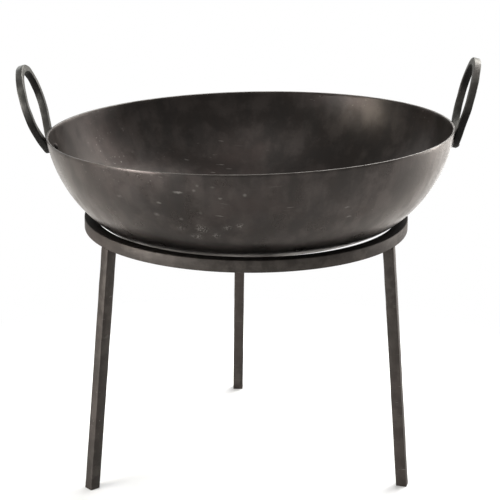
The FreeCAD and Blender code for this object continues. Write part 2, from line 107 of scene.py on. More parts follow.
class NodeTree:
    """Short way to add and link the nodes of one shader tree."""

    FIRST_COLOUR: int = 6
    SECOND_COLOUR: int = 7
    MIXED_COLOUR: int = 2

    def __init__(self, tree: Tree) -> None:
        """Empties the tree of a material, a world or a node group."""
        self.tree = tree
        tree.nodes.clear()

    def feed(self, socket: Socket, value: Any) -> None:
        """Links an input to an output, or sets the input's own value.

        Args:
            socket: Input socket.
            value: Output socket that feeds it, or a number, a vector or a colour.
        """
        if isinstance(value, Socket):
            self.tree.links.new(value, socket)
        elif socket.type == "RGBA":
            socket.default_value = (*value, OPAQUE)
        else:
            socket.default_value = value

    def add(self, kind: str, inputs: dict[str | int, Any] | None = None, **settings: Any) -> bpy.types.Node:
        """Adds one node.

        Args:
            kind: Node type, without its ShaderNode prefix where it has one.
            inputs: Socket name or number to a value, or to the output socket that feeds it.
            settings: Node properties.

        Returns:
            The new node.
        """
        node = self.tree.nodes.new(kind if kind.startswith("Node") else f"ShaderNode{kind}")
        for key, value in settings.items():
            setattr(node, key, value)
        for key, value in (inputs or {}).items():
            self.feed(node.inputs[key], value)
        return node

    def math(self, operation: str, *values: Any) -> Socket:
        """Joins numbers with Math nodes, one after another.

        Args:
            operation: What each node does.
            values: Two numbers or more.

        Returns:
            The last node's value.
        """
        result, *others = values
        for value in others:
            result = self.add("Math", {0: result, 1: value}, operation=operation).outputs["Value"]
        return result

    @cached_property
    def place(self) -> Socket:
        """Object coordinates, for a material."""
        return self.add("TexCoord").outputs["Object"]

    def vector(self, operation: str, first: Any, second: Any) -> Socket:
        """Joins two vectors with a Vector Math node."""
        return self.add("VectorMath", {0: first, 1: second}, operation=operation).outputs["Vector"]

    def scale(self, vector: Any, factor: Any) -> Socket:
        """Multiplies a vector by a number."""
        return self.add("VectorMath", {0: vector, "Scale": factor}, operation="SCALE").outputs["Vector"]

    def length(self, vector: Any) -> Socket:
        """Measures a vector."""
        return self.add("VectorMath", {0: vector}, operation="LENGTH").outputs["Value"]

    def noise(self, place: Any, scale: Any, detail: float, output: str = "Fac") -> Socket:
        """Adds a noise texture and returns its value, or another of its outputs."""
        return self.add("TexNoise", {"Vector": place, "Scale": scale, "Detail": detail}).outputs[output]

    def ramp(self, value: Any, low: Any, high: Any) -> Socket:
        """Maps a value's range from low to high onto 0 to 1, smoothly and clamped."""
        inputs = {"Value": value, "From Min": low, "From Max": high}
        return self.add("MapRange", inputs, interpolation_type="SMOOTHSTEP").outputs["Result"]

    def remap(self, value: Any, low: Any, high: Any, span: Span = (0.0, 1.0)) -> Socket:
        """Maps a value's span onto the range from low to high, evenly and clamped."""
        inputs = {"Value": value, "From Min": span[0], "From Max": span[1], "To Min": low, "To Max": high}
        return self.add("MapRange", inputs).outputs["Result"]

    def blend(self, mask: Any, first: Any, second: Any) -> Socket:
        """Mixes two colours by a mask."""
        inputs = {"Factor": mask, self.FIRST_COLOUR: first, self.SECOND_COLOUR: second}
        return self.add("Mix", inputs, data_type="RGBA").outputs[self.MIXED_COLOUR]

    def effect(self, group: Tree, **values: Any) -> Socket:
        """Places a shared effect with its own values and returns what it gives."""
        return self.add("Group", {"place": self.place, **values}, node_tree=group).outputs[0]

    def clouds(self, group: Tree, scale: float, span: Span) -> Socket:
        """Places a shared cloudy effect, with the span of its noise that fades in."""
        return self.effect(group, scale=scale, low=span[0], high=span[1])


class NodeGroup(NodeTree):
    """Shared effect that takes a place and some values and gives one number."""

    def __init__(
        self, name: str, numbers: Iterable[str], points: Iterable[str] = (), output: str = "mask"
    ) -> None:
        """Starts the group with its sockets.

        Args:
            name: Name of the group.
            numbers: Number inputs.
            points: Vector inputs besides the place.
            output: Name of the number that it gives.
        """
        super().__init__(bpy.data.node_groups.new(name, "ShaderNodeTree"))
        sockets = self.tree.interface
        for key in ("place", *points):
            sockets.new_socket(key, in_out="INPUT", socket_type="NodeSocketVector")
        for key in numbers:
            sockets.new_socket(key, in_out="INPUT", socket_type="NodeSocketFloat")
        sockets.new_socket(output, in_out="OUTPUT", socket_type="NodeSocketFloat")
        self.source = self.add("NodeGroupInput").outputs
        self.sink = self.add("NodeGroupOutput").inputs

    def give(self, value: Socket) -> Tree:
        """Sends a number out and returns the finished group."""
        self.feed(self.sink[0], value)
        return self.tree


@cache
def mottle_group() -> Tree:
    """Builds cloudy patches with soft edges, broken up by a finer grain.

    Returns:
        Group with a mask output.
    """
    detail = 7.0
    grain = 0.62
    group = NodeGroup("mottle", ["scale", "low", "high"])
    source = group.source
    inputs = {"Vector": source["place"], "Scale": source["scale"], "Detail": detail, "Roughness": grain}
    clouds = group.add("TexNoise", inputs).outputs["Fac"]
    return group.give(group.ramp(clouds, source["low"], source["high"]))


@cache
def streak_group() -> Tree:
    """Builds soft streaks that run up and down.

    Returns:
        Group with a mask output.
    """
    narrowing = (6.0, 6.0, 1.0)
    detail = 4.0
    group = NodeGroup("streaks", ["scale", "low", "high"])
    source = group.source
    place = group.add("Mapping", {"Vector": source["place"], "Scale": narrowing}).outputs["Vector"]
    lines = group.noise(place, source["scale"], detail)
    return group.give(group.ramp(lines, source["low"], source["high"]))


@cache
def scratch_group() -> Tree:
    """Builds fine straight scratches in a few directions, gathered in patches.

    Returns:
        Group with a mask output.
    """
    turns = ((0.4, 0.2, 0.5), (1.1, -0.6, 2.1), (-0.7, 0.9, 1.3))
    narrowing = (1.0, 34.0, 34.0)
    line_detail = 2.0
    line_span = (0.7, 0.76)
    patch_detail = 3.0
    patch_span = (0.46, 0.62)
    group = NodeGroup("scratches", ["scale", "amount"])
    place = group.source["place"]
    scale = group.source["scale"]
    directions = []
    for turn in turns:
        mapping = {"Vector": place, "Rotation": turn, "Scale": narrowing}
        along = group.add("Mapping", mapping).outputs["Vector"]
        directions.append(group.ramp(group.noise(along, scale, line_detail), *line_span))
    lines = group.math("MAXIMUM", *directions)
    patches = group.ramp(group.noise(place, scale, patch_detail), *patch_span)
    return group.give(group.math("MULTIPLY", lines, patches, group.source["amount"]))


@cache
def scuff_group() -> Tree:
    """Builds soft pale rubs, longer than they are high and thinly scattered.

    Returns:
        Group with a mask output.
    """
    flattening = (1.0, 1.0, 2.4)
    shake_detail = 3.0
    shake = 0.02
    grit_scale = 420.0
    grit_detail = 2.0
    grit_span = (0.3, 0.6)
    group = NodeGroup("scuffs", ["scale", "size", "share", "amount"])
    source = group.source
    place = group.add("Mapping", {"Vector": source["place"], "Scale": flattening}).outputs["Vector"]
    shaken = group.noise(place, source["scale"], shake_detail, "Color")
    moved = group.vector("ADD", place, group.scale(shaken, shake))
    cells = group.add("TexVoronoi", {"Vector": moved, "Scale": source["scale"]}).outputs
    chance = group.add("SeparateColor", {"Color": cells["Color"]}).outputs
    chosen = group.math("LESS_THAN", chance["Red"], source["share"])
    reach = group.math("MULTIPLY", chance["Green"], source["size"])
    spot = group.ramp(cells["Distance"], reach, 0.0)
    grit = group.ramp(group.noise(source["place"], grit_scale, grit_detail), *grit_span)
    return group.give(group.math("MULTIPLY", spot, chosen, grit, source["amount"]))


@cache
def rub_group() -> Tree:
    """Builds one worn spot with a ragged edge, solid or stippled.

    Returns:
        Group with a mask output.
    """
    shake_scale = 150.0
    shake_detail = 4.0
    shake_middle = (0.5, 0.5, 0.5)
    shake_share = 0.65
    grit_scale = 430.0
    grit_detail = 3.0
    hole_span = (0.62, 0.46)
    group = NodeGroup("rub", ["length", "height", "amount", "stipple"], points=["centre"])
    source = group.source
    place = source["place"]
    shaken = group.noise(place, shake_scale, shake_detail, "Color")
    shake = group.math("MULTIPLY", source["length"], shake_share)
    offset = group.scale(group.vector("SUBTRACT", shaken, shake_middle), shake)
    away = group.vector("SUBTRACT", group.vector("ADD", place, offset), source["centre"])
    sizes = {"X": source["length"], "Y": source["length"], "Z": source["height"]}
    reach = group.add("CombineXYZ", sizes).outputs["Vector"]
    fade = group.ramp(group.length(group.vector("DIVIDE", away, reach)), 1.0, 0.0)
    grit = group.noise(place, grit_scale, grit_detail)
    holes = group.math("MULTIPLY", group.ramp(grit, *hole_span), source["stipple"])
    solid = group.math("SUBTRACT", 1.0, holes)
    return group.give(group.math("MULTIPLY", fade, solid, source["amount"]))


@cache
def painted_shade_group() -> Tree:
    """Builds painted shade: a blotchy darkening of the lower part that fades out upwards with a ragged edge.

    Returns:
        Group with a mask output.
    """
    edge_scale = 40.0
    edge_detail = 4.0
    edge_middle = 0.5
    edge_depth = 0.012
    blotch_scale = 24.0
    blotch_detail = 6.0
    blotch_span = (0.35, 0.65)
    thinnest = 0.45
    group = NodeGroup("soot", ["bottom", "top", "amount"])
    source = group.source
    place = source["place"]
    height = group.add("SeparateXYZ", {"Vector": place}).outputs["Z"]
    ragged = group.math("SUBTRACT", group.noise(place, edge_scale, edge_detail), edge_middle)
    level = group.math("ADD", height, group.math("MULTIPLY", ragged, edge_depth))
    fade = group.ramp(level, source["top"], source["bottom"])
    blotches = group.remap(group.noise(place, blotch_scale, blotch_detail), thinnest, 1.0, blotch_span)
    return group.give(group.math("MULTIPLY", fade, blotches, source["amount"]))


@cache
def skin_group() -> Tree:
    """Builds the skin of rolled or hammered steel, as a height.

    Returns:
        Group with a height output.
    """
    fine_detail = 2.0
    broad_detail = 1.5
    group = NodeGroup("steel_skin", ["fine", "broad", "waves"], output="height")
    source = group.source
    fine = group.noise(source["place"], source["fine"], fine_detail)
    broad = group.noise(source["place"], source["broad"], broad_detail)
    return group.give(group.math("ADD", fine, group.math("MULTIPLY", broad, source["waves"])))


# Finishes


@dataclass(frozen=True)
class RubMark:
    """Worn spot on a surface: its middle, half its length, half its height, bareness and stippling."""

    centre: Point
    length: float
    height: float
    amount: float
    stipple: float


@dataclass(frozen=True)
class SteelFinish:
    """Dark oiled steel with patches, streaks, rubs, scratches, painted shade and a grained skin."""

    name: str
    slot: SlotName
    base: Colour = (0.0335, 0.029, 0.0268)
    patch: Colour = (0.052, 0.0448, 0.0416)
    streak: Colour = (0.028, 0.0257, 0.0245)
    tint: Colour = (0.05, 0.0385, 0.035)
    bare: Colour = (0.3, 0.28, 0.26)
    patch_scale: float = 24.0
    patch_span: Span = (0.4, 0.62)
    streak_scale: float = 7.0
    streak_span: Span = (0.42, 0.62)
    streak_share: float = 0.5
    tint_scale: float = 7.0
    tint_span: Span = (0.45, 0.7)
    tint_share: float = 0.6
    scratch_scale: float = 7.0
    scratch_amount: float = 0.35
    scuff_scale: float = 26.0
    scuff_size: float = 0.32
    scuff_share: float = 0.08
    scuff_amount: float = 0.15
    roughness_low: float = 0.27
    roughness_high: float = 0.4
    metallic: float = 0.9
    skin_fine: float = 420.0
    skin_broad: float = 14.0
    skin_waves: float = 3.0
    bump_strength: float = 0.07
    bump_distance: float = 0.0006
    edge_tint: Colour = (1.0, 1.0, 1.0)
    # Painted shade: its colour, the heights over which it fades in, its amounts and its roughness.
    soot: Colour = (0.018, 0.016, 0.015)
    soot_bottom: float = -1.0
    soot_top: float = -0.9
    soot_amount: float = 0.0
    soot_roughness: float = 0.68
    smoke_amount: float = 0.0
    rubs: tuple[RubMark, ...] = ()

    def blackened(self, nodes: NodeTree) -> Socket:
        """Adds the painted shade that goes by height, and the painted shade that the mesh's own layer gives.

        Args:
            nodes: Tree of the material.

        Returns:
            Mask of both.
        """
        soot = nodes.effect(
            painted_shade_group(), bottom=self.soot_bottom, top=self.soot_top, amount=self.soot_amount
        )
        layer = nodes.add("Attribute", attribute_name=FACING_SHADE_LAYER).outputs["Fac"]
        return nodes.math("MAXIMUM", soot, nodes.math("MULTIPLY", layer, self.smoke_amount))

    def normal(self, nodes: NodeTree, scratches: Socket) -> Socket:
        """Adds the grain and cuts the scratches into it.

        Args:
            nodes: Tree of the material.
            scratches: Mask of the scratches.

        Returns:
            Normal of the surface.
        """
        grain = nodes.effect(
            skin_group(), fine=self.skin_fine, broad=self.skin_broad, waves=self.skin_waves
        )
        height = nodes.math("SUBTRACT", grain, scratches)
        inputs = {"Height": height, "Strength": self.bump_strength, "Distance": self.bump_distance}
        return nodes.add("Bump", inputs).outputs["Normal"]

    @cache
    def material(self) -> bpy.types.Material:
        """Builds the material, once for each finish.

        Returns:
            Material with its node tree.
        """
        both_masks = (0.0, 2.0)
        material = bpy.data.materials.new(self.name)
        material.use_nodes = True
        nodes = NodeTree(material.node_tree)
        patches = nodes.clouds(mottle_group(), self.patch_scale, self.patch_span)
        streaks = nodes.clouds(streak_group(), self.streak_scale, self.streak_span)
        tints = nodes.clouds(mottle_group(), self.tint_scale, self.tint_span)
        scratches = nodes.effect(scratch_group(), scale=self.scratch_scale, amount=self.scratch_amount)
        scuffs = nodes.effect(
            scuff_group(),
            scale=self.scuff_scale,
            size=self.scuff_size,
            share=self.scuff_share,
            amount=self.scuff_amount,
        )
        spots = [nodes.effect(rub_group(), **vars(rub)) for rub in self.rubs]
        marks = nodes.math("MAXIMUM", scratches, scuffs, *spots)
        colour = nodes.blend(patches, self.base, self.patch)
        colour = nodes.blend(nodes.math("MULTIPLY", streaks, self.streak_share), colour, self.streak)
        colour = nodes.blend(nodes.math("MULTIPLY", tints, self.tint_share), colour, self.tint)
        colour = nodes.blend(marks, colour, self.bare)
        worn = nodes.math("ADD", patches, streaks)
        roughness = nodes.remap(worn, self.roughness_low, self.roughness_high, both_masks)
        # Painted shade darkens the colour and raises the roughness where its masks reach.
        if self.soot_amount > 0 or self.smoke_amount > 0:
            shaded = self.blackened(nodes)
            colour = nodes.blend(shaded, colour, self.soot)
            roughness = nodes.remap(shaded, roughness, self.soot_roughness)
        inputs = {
            "Base Color": colour,
            "Metallic": self.metallic,
            "Roughness": roughness,
            "Specular Tint": self.edge_tint,
            "Normal": self.normal(nodes, scratches),
        }
        shader = nodes.add("BsdfPrincipled", inputs)
        nodes.add("OutputMaterial", {"Surface": shader.outputs["BSDF"]})
        return material


BOWL_INSIDE = SteelFinish(
    "bowl_steel_inside",
    SlotName.BOWL,
    edge_tint=(0.82, 0.79, 0.76),
    roughness_low=0.31,
    roughness_high=0.42,
)
# Painted contact shade low on the outer wall, where the bowl sits in the ring; the higher roughness there
# also dulls the grazing reflection.
BOWL_OUTSIDE = SteelFinish(
    "bowl_steel_oiled",
    SlotName.BOWL,
    edge_tint=BOWL_INSIDE.edge_tint,
    soot=(0.027, 0.024, 0.0225),
    soot_bottom=0.382,
    soot_top=0.394,
    soot_amount=0.9,
)
BOWL_CUT_EDGE = SteelFinish(
    "bowl_cut_edge",
    SlotName.BOWL,
    base=(0.075, 0.068, 0.061),
    patch=(0.12, 0.11, 0.1),
    streak=(0.085, 0.077, 0.07),
    tint=(0.085, 0.07, 0.062),
    bare=(0.17, 0.16, 0.148),
    patch_scale=40.0,
    roughness_low=0.38,
    roughness_high=0.5,
)
# Painted shade on the loops: darker below and just above the rim, and on faces that turn down.
HANDLE_STEEL = SteelFinish(
    "handle_steel_forged",
    SlotName.HANDLE,
    base=(0.066, 0.064, 0.059),
    patch=(0.112, 0.109, 0.101),
    patch_scale=60.0,
    skin_waves=1.0,
    bump_strength=0.2,
    metallic=0.8,
    roughness_low=0.36,
    roughness_high=0.5,
    edge_tint=(0.8, 0.79, 0.76),
    soot=(0.007, 0.0065, 0.006),
    soot_amount=0.5,
    soot_roughness=0.7,
    smoke_amount=0.95,
)
RIVET_STEEL = SteelFinish(
    "rivet_steel_hammered",
    SlotName.RIVET,
    base=(0.02, 0.018, 0.017),
    patch=(0.034, 0.03, 0.028),
    patch_scale=90.0,
    skin_broad=160.0,
    roughness_low=0.48,
    roughness_high=0.62,
    edge_tint=(0.6, 0.58, 0.56),
)
WELD_METAL = SteelFinish("weld_bead_metal", SlotName.WELD, patch_scale=120.0, skin_broad=200.0)
# Painted shade on the stand: the ring's upward faces are darkened where the bowl shades them.
STAND_STEEL = SteelFinish(
    "stand_steel_bar",
    SlotName.STAND,
    base=(0.032, 0.028, 0.025),
    patch=(0.056, 0.049, 0.044),
    streak=(0.038, 0.033, 0.03),
    tint=(0.048, 0.038, 0.034),
    patch_scale=60.0,
    skin_waves=1.0,
    bump_strength=0.2,
    metallic=0.6,
    roughness_low=0.48,
    roughness_high=0.62,
    edge_tint=(0.4, 0.38, 0.36),
    soot=(0.012, 0.011, 0.01),
    smoke_amount=0.8,
)


# Mesh helpers


def sloping(angle: float) -> Vector:
    """Direction outwards along X and down by an angle."""
    return Vector((math.cos(angle), 0, -math.sin(angle)))


def turned(angle: float, axis: str) -> Matrix:
    """Turn about an axis, as a matrix that also holds a place."""
    return Matrix.Rotation(angle, 4, axis)


def set_down(shape: Mesh, place: Matrix) -> None:
    """Moves a mesh from its own frame to its place on the object."""
    bmesh.ops.transform(shape, matrix=place, verts=shape.verts[:])


def round_over(
    shape: Mesh, edges: list[bmesh.types.BMEdge], radius: float, segments: int
) -> list[bmesh.types.BMFace]:
    """Rounds some edges of a mesh.

    Args:
        shape: Mesh to change.
        edges: Edges to round.
        radius: Radius of the rounding.
        segments: Divisions of the rounding.

    Returns:
        The new faces.
    """
    made = bmesh.ops.bevel(
        shape,
        geom=edges,
        offset=radius,
        offset_type="OFFSET",
        affect="EDGES",
        segments=segments,
        profile=0.5,
        material=-1,
    )
    return made["faces"]


def roughen(shape: Mesh, depth: float, scale: float) -> None:
    """Gives a mesh the slight waviness of hammered or rolled steel.

    Args:
        shape: Mesh to change.
        depth: Largest move, along the normal.
        scale: Waves per metre.
    """
    shape.normal_update()
    for vertex in shape.verts:
        vertex.co += vertex.normal * depth * noise.noise(vertex.co * scale)


def paint_facing_shade(shape: Mesh, unshaded: float, shaded: float) -> None:
    """Marks painted shade on a mesh, by how much its surface faces up or down.

    Args:
        shape: Mesh in its place on the object.
        unshaded: Upward part of the normal where the painted shade ends.
        shaded: Upward part of the normal where the painted shade is full.
    """
    shape.normal_update()
    layer = shape.verts.layers.float.new(FACING_SHADE_LAYER)
    for vertex in shape.verts:
        share = (unshaded - vertex.normal.z) / (unshaded - shaded)
        vertex[layer] = min(1.0, max(0.0, share))


class Outline:
    """Chain of edges in the XZ plane, drawn by a moving point."""

    def __init__(self, shape: Mesh, start: Vector) -> None:
        """Starts the chain at a point, in a mesh to draw in."""
        self.shape = shape
        self.tip = bmesh.ops.create_vert(shape, co=start)["vert"][0]

    def line(self, point: Vector) -> None:
        """Draws a straight edge to a point."""
        self.tip = bmesh.ops.extrude_vert_indiv(self.shape, verts=[self.tip])["verts"][0]
        self.tip.co = point

    def arc(self, centre: Vector, angle: float, steps: int) -> None:
        """Draws an arc, anticlockwise as seen with X to the right and Z up.

        Args:
            centre: Centre of the arc.
            angle: Angle to turn through.
            steps: Edges in the arc.
        """
        made = bmesh.ops.spin(
            self.shape, geom=[self.tip], cent=centre, axis=-Y_AXIS, angle=angle, steps=steps
        )
        self.tip = next(item for item in made["geom_last"] if isinstance(item, bmesh.types.BMVert))

    def turn(self, segments: int) -> None:
        """Turns the chain about the Z axis into a closed skin.

        Args:
            segments: Divisions of the full turn.
        """
        chain = self.shape.verts[:] + self.shape.edges[:]
        bmesh.ops.spin(
            self.shape, geom=chain, cent=ORIGIN, axis=Z_AXIS, angle=FULL_TURN, steps=segments, use_merge=True
        )
        bmesh.ops.remove_doubles(self.shape, verts=self.shape.verts[:], dist=MERGE_DISTANCE)
        bmesh.ops.dissolve_degenerate(self.shape, edges=self.shape.edges[:], dist=MERGE_DISTANCE)
        bmesh.ops.recalc_face_normals(self.shape, faces=self.shape.faces[:])


class SquareBar:
    """Square bar drawn along arcs and straights, then given rounded edges."""

    SIDES: int = 4
    ROUND_STEPS: int = 3

    def __init__(self, shape: Mesh, width: float, place: Matrix) -> None:
        """Starts with the bar's cut end.

        Args:
            shape: Mesh to draw in.
            width: Width of the bar.
            place: Frame of the cut end: its Z axis is along the bar.
        """
        self.shape = shape
        made = bmesh.ops.create_circle(
            shape,
            cap_ends=True,
            segments=self.SIDES,
            radius=width / math.sqrt(2),
            matrix=place @ turned(EIGHTH_TURN, "Z"),
        )
        self.first = made["verts"][0].link_faces[0]
        self.last = self.first

    def bend(self, centre: Vector, axis: Vector, angle: float, steps: int) -> None:
        """Draws the bar round an arc.

        Args:
            centre: Centre of the arc.
            axis: Axis of the turn.
            angle: Angle of the turn.
            steps: Divisions of the arc.
        """
        geometry = [self.last, *self.last.edges, *self.last.verts]
        made = bmesh.ops.spin(self.shape, geom=geometry, cent=centre, axis=axis, angle=angle, steps=steps)
        self.last = next(item for item in made["geom_last"] if isinstance(item, bmesh.types.BMFace))

    def run(self, way: Vector, steps: int) -> None:
        """Draws the bar straight on.

        Args:
            way: Length and direction.
            steps: Divisions of the length.
        """
        for _ in range(steps):
            made = bmesh.ops.extrude_discrete_faces(self.shape, faces=[self.last])
            self.last = made["faces"][0]
            bmesh.ops.translate(self.shape, vec=way / steps, verts=self.last.verts[:])

    def close(self) -> None:
        """Joins the last cut end to the first."""
        bmesh.ops.delete(self.shape, geom=[self.first, self.last], context="FACES_ONLY")
        bmesh.ops.remove_doubles(self.shape, verts=self.shape.verts[:], dist=JOIN_DISTANCE)

    def round_edges(self, radius: float) -> None:
        """Rounds the bar's sharp edges.

        Args:
            radius: Radius of the rounding.
        """
        bmesh.ops.recalc_face_normals(self.shape, faces=self.shape.faces[:])
        sharp = [edge for edge in self.shape.edges if edge.calc_face_angle(0.0) > EIGHTH_TURN]
        round_over(self.shape, sharp, radius, self.ROUND_STEPS)


@dataclass
class WeldBead:
    """Rippled bead laid along a path."""

    radius: float
    ripples: int
    ripple_share: float = 0.14
    sides: int = 14
    steps_per_ripple: int = 6
    end_share: float = 0.35
    swell_rate: float = 2.0

    def lay(self, shape: Mesh, path: Callable[[float], Matrix]) -> None:
        """Adds the bead to a mesh.

        Args:
            shape: Mesh to add to.
            path: Frame for a share of the path's length from its middle, with its Z axis along the path.
        """
        steps = self.ripples * self.steps_per_ripple
        previous: list[bmesh.types.BMEdge] = []
        for step in range(steps + 1):
            share = step / steps
            phase = share * self.ripples % 1.0
            ripple = 1.0 - self.ripple_share * phase
            swell = min(1.0, math.sin(HALF_TURN * share) * self.swell_rate)
            taper = self.end_share + (1.0 - self.end_share) * swell
            ring = bmesh.ops.create_circle(
                shape,
                cap_ends=step in (0, steps),
                segments=self.sides,
                radius=self.radius * ripple * taper,
                matrix=path(share - 1 / 2),
            )["verts"]
            edges = list({edge for vertex in ring for edge in vertex.link_edges})
            if previous:
                bmesh.ops.bridge_loops(shape, edges=previous + edges)
            previous = edges
        bmesh.ops.recalc_face_normals(shape, faces=shape.faces[:])


def dress(name: str, body: BodyName, shape: Mesh, *finishes: SteelFinish) -> Object:
    """Makes the object that stands for a CAD node, hangs it on its body and hides the node.

    Args:
        name: Name of the node.
        body: Body that it rides on.
        shape: Mesh in its place on the object, which is freed.
        finishes: Finishes by the number that the faces hold.

    Returns:
        The new object.
    """
    mesh = bpy.data.meshes.new(name)
    for face in shape.faces:
        face.smooth = True
    shape.to_mesh(mesh)
    shape.free()
    for finish in finishes:
        mesh.materials.append(finish.material())
    mesh.set_sharp_from_angle(angle=EIGHTH_TURN)
    item = bpy.data.objects.new(f"{name}_dressed", mesh)
    bpy.context.scene.collection.objects.link(item)
    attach(item, body.value)
    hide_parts(name)
    return item


# Sub-assemblies


@dataclass(frozen=True)
class WallSpot:
    """Worn spot on the outer wall: bearing in degrees, drop below the rim, half sizes and bareness."""

    bearing: float
    drop: float
    length: float
    height: float
    amount: float


@dataclass
class Bowl:
    """Pressed bowl: flared wall, knuckle and shallow crown."""

    rim_radius: float = 0.3
    rim_height: float = 0.514956
    lean_right: float = math.radians(1.75)
    lean_front: float = math.radians(1.3)
    shift_right: float = 0.003
    thickness: float = 0.003
    rim_round: float = 0.0007
    rim_steps: int = 2
    wall_lean: float = math.radians(8)
    wall_radius: float = 0.196
    knuckle_start: float = math.radians(52)
    knuckle_radius: float = 0.087
    crown_start: float = math.radians(74)
    segments: int = 240
    wall_steps: int = 30
    knuckle_steps: int = 12
    crown_steps: int = 20
    wide_spot: float = 0.0055
    small_spot_stipple: float = 0.25
    worn_spots: tuple[WallSpot, ...] = (
        WallSpot(-109.0, 0.027, 0.0085, 0.0026, 0.45),
        WallSpot(-104.6, 0.023, 0.0032, 0.0028, 0.26),
        WallSpot(-103.6, 0.016, 0.0033, 0.0026, 0.18),
        WallSpot(-99.6, 0.018, 0.005, 0.0025, 0.15),
        WallSpot(-97.8, 0.034, 0.0042, 0.0025, 0.32),
        WallSpot(-91.4, 0.029, 0.0036, 0.0034, 0.34),
        WallSpot(-115.2, 0.045, 0.0062, 0.0022, 0.36),
        WallSpot(-117.0, 0.064, 0.006, 0.004, 0.22),
        WallSpot(-109.6, 0.068, 0.0042, 0.0036, 0.22),
        WallSpot(-103.6, 0.057, 0.0036, 0.0036, 0.15),
        WallSpot(-104.3, 0.083, 0.013, 0.011, 0.45),
        WallSpot(-106.6, 0.096, 0.012, 0.008, 0.45),
        WallSpot(-100.2, 0.094, 0.009, 0.008, 0.32),
        WallSpot(-93.1, 0.077, 0.007, 0.008, 0.34),
        WallSpot(-96.7, 0.08, 0.0095, 0.007, 0.28),
        WallSpot(-110.8, 0.083, 0.0085, 0.007, 0.24),
        WallSpot(-62.6, 0.059, 0.006, 0.0022, 0.24),
        WallSpot(-60.9, 0.075, 0.006, 0.0018, 0.28),
        WallSpot(-128.0, 0.043, 0.007, 0.003, 0.15),
        WallSpot(40.0, 0.036, 0.008, 0.0026, 0.32),
        WallSpot(63.0, 0.071, 0.011, 0.008, 0.35),
        WallSpot(118.0, 0.048, 0.007, 0.0024, 0.34),
        WallSpot(141.0, 0.08, 0.012, 0.006, 0.3),
    )

    @property
    def place(self) -> Matrix:
        """Frame of the leaning bowl, with its origin in the middle of the rim."""
        rise_right = math.tan(self.lean_right)
        rise_front = math.tan(self.lean_front)
        upward = Vector((-rise_right, rise_front, 1)).normalized()
        rightward = Vector((1, 0, rise_right)).normalized()
        axes = Matrix((rightward, upward.cross(rightward), upward)).transposed().to_4x4()
        return Matrix.Translation((self.shift_right, 0, self.rim_height)) @ axes

    @property
    def wall_centre(self) -> Vector:
        """Centre of the wall's arc, in the bowl's frame."""
        reach = self.wall_radius * math.cos(self.wall_lean)
        rise = self.wall_radius * math.sin(self.wall_lean)
        return Vector((self.rim_radius - reach, 0, rise))

    @property
    def knuckle_centre(self) -> Vector:
        """Centre of the knuckle's arc."""
        return self.wall_centre + sloping(self.knuckle_start) * (self.wall_radius - self.knuckle_radius)

    @property
    def crown_radius(self) -> float:
        """Radius of the crown, whose centre is on the axis."""
        return self.knuckle_radius + self.knuckle_centre.x / math.cos(self.crown_start)

    @property
    def crown_centre(self) -> Vector:
        """Centre of the crown's arc."""
        rise = self.knuckle_centre.x * math.tan(self.crown_start)
        return Z_AXIS * (self.knuckle_centre.z + rise)

    def rubs(self) -> tuple[RubMark, ...]:
        """Places the worn spots on the outer wall.

        Returns:
            One mark for each spot.
        """
        marks = []
        for spot in self.worn_spots:
            below = self.wall_centre.z + spot.drop
            reach = self.wall_centre.x + math.sqrt(self.wall_radius**2 - below**2)
            centre = self.place @ turned(math.radians(spot.bearing), "Z") @ Vector((reach, 0, -spot.drop))
            stipple = 1.0 if spot.height > self.wide_spot else self.small_spot_stipple
            marks.append(RubMark(tuple(centre), spot.length, spot.height, spot.amount, stipple))
        return tuple(marks)

    def round_rim(self, shape: Mesh) -> None:
        """Levels the sheet's cut edge, rounds it and marks it as the rim.

        Args:
            shape: Mesh of the sheet, in the bowl's frame.
        """
        rim_faces = [face for face in shape.faces if face.calc_center_median().z > -self.rim_round]
        for face in rim_faces:
            face.material_index = BowlFace.RIM
            for vertex in face.verts:
                vertex.co.z = 0
        regions = {BowlFace.OUTSIDE, BowlFace.RIM}
        corners = [
            edge for edge in shape.edges if {face.material_index for face in edge.link_faces} == regions
        ]
        for face in round_over(shape, corners, self.rim_round, self.rim_steps):
            face.material_index = BowlFace.RIM

    def build(self) -> list[Object]:
        """Turns the profile, gives it its thickness and rounds the rim.

        Returns:
            The bowl alone, in a list.
        """
        shape = bmesh.new()
        outline = Outline(shape, self.crown_centre - Z_AXIS * self.crown_radius)
        outline.arc(self.crown_centre, QUARTER_TURN - self.crown_start, self.crown_steps)
        outline.arc(self.knuckle_centre, self.crown_start - self.knuckle_start, self.knuckle_steps)
        outline.arc(self.wall_centre, self.knuckle_start - self.wall_lean, self.wall_steps)
        outline.turn(self.segments)
        bmesh.ops.solidify(shape, geom=shape.faces[:], thickness=self.thickness)
        bmesh.ops.recalc_face_normals(shape, faces=shape.faces[:])
        self.round_rim(shape)
        for face in shape.faces:
            inward = face.normal.dot(face.calc_center_median()) < 0
            if inward and face.material_index == BowlFace.OUTSIDE:
                face.material_index = BowlFace.INSIDE
        set_down(shape, self.place)
        outside = replace(BOWL_OUTSIDE, rubs=self.rubs())
        return [dress("bowl", BodyName.BOWL, shape, outside, BOWL_CUT_EDGE, BOWL_INSIDE)]


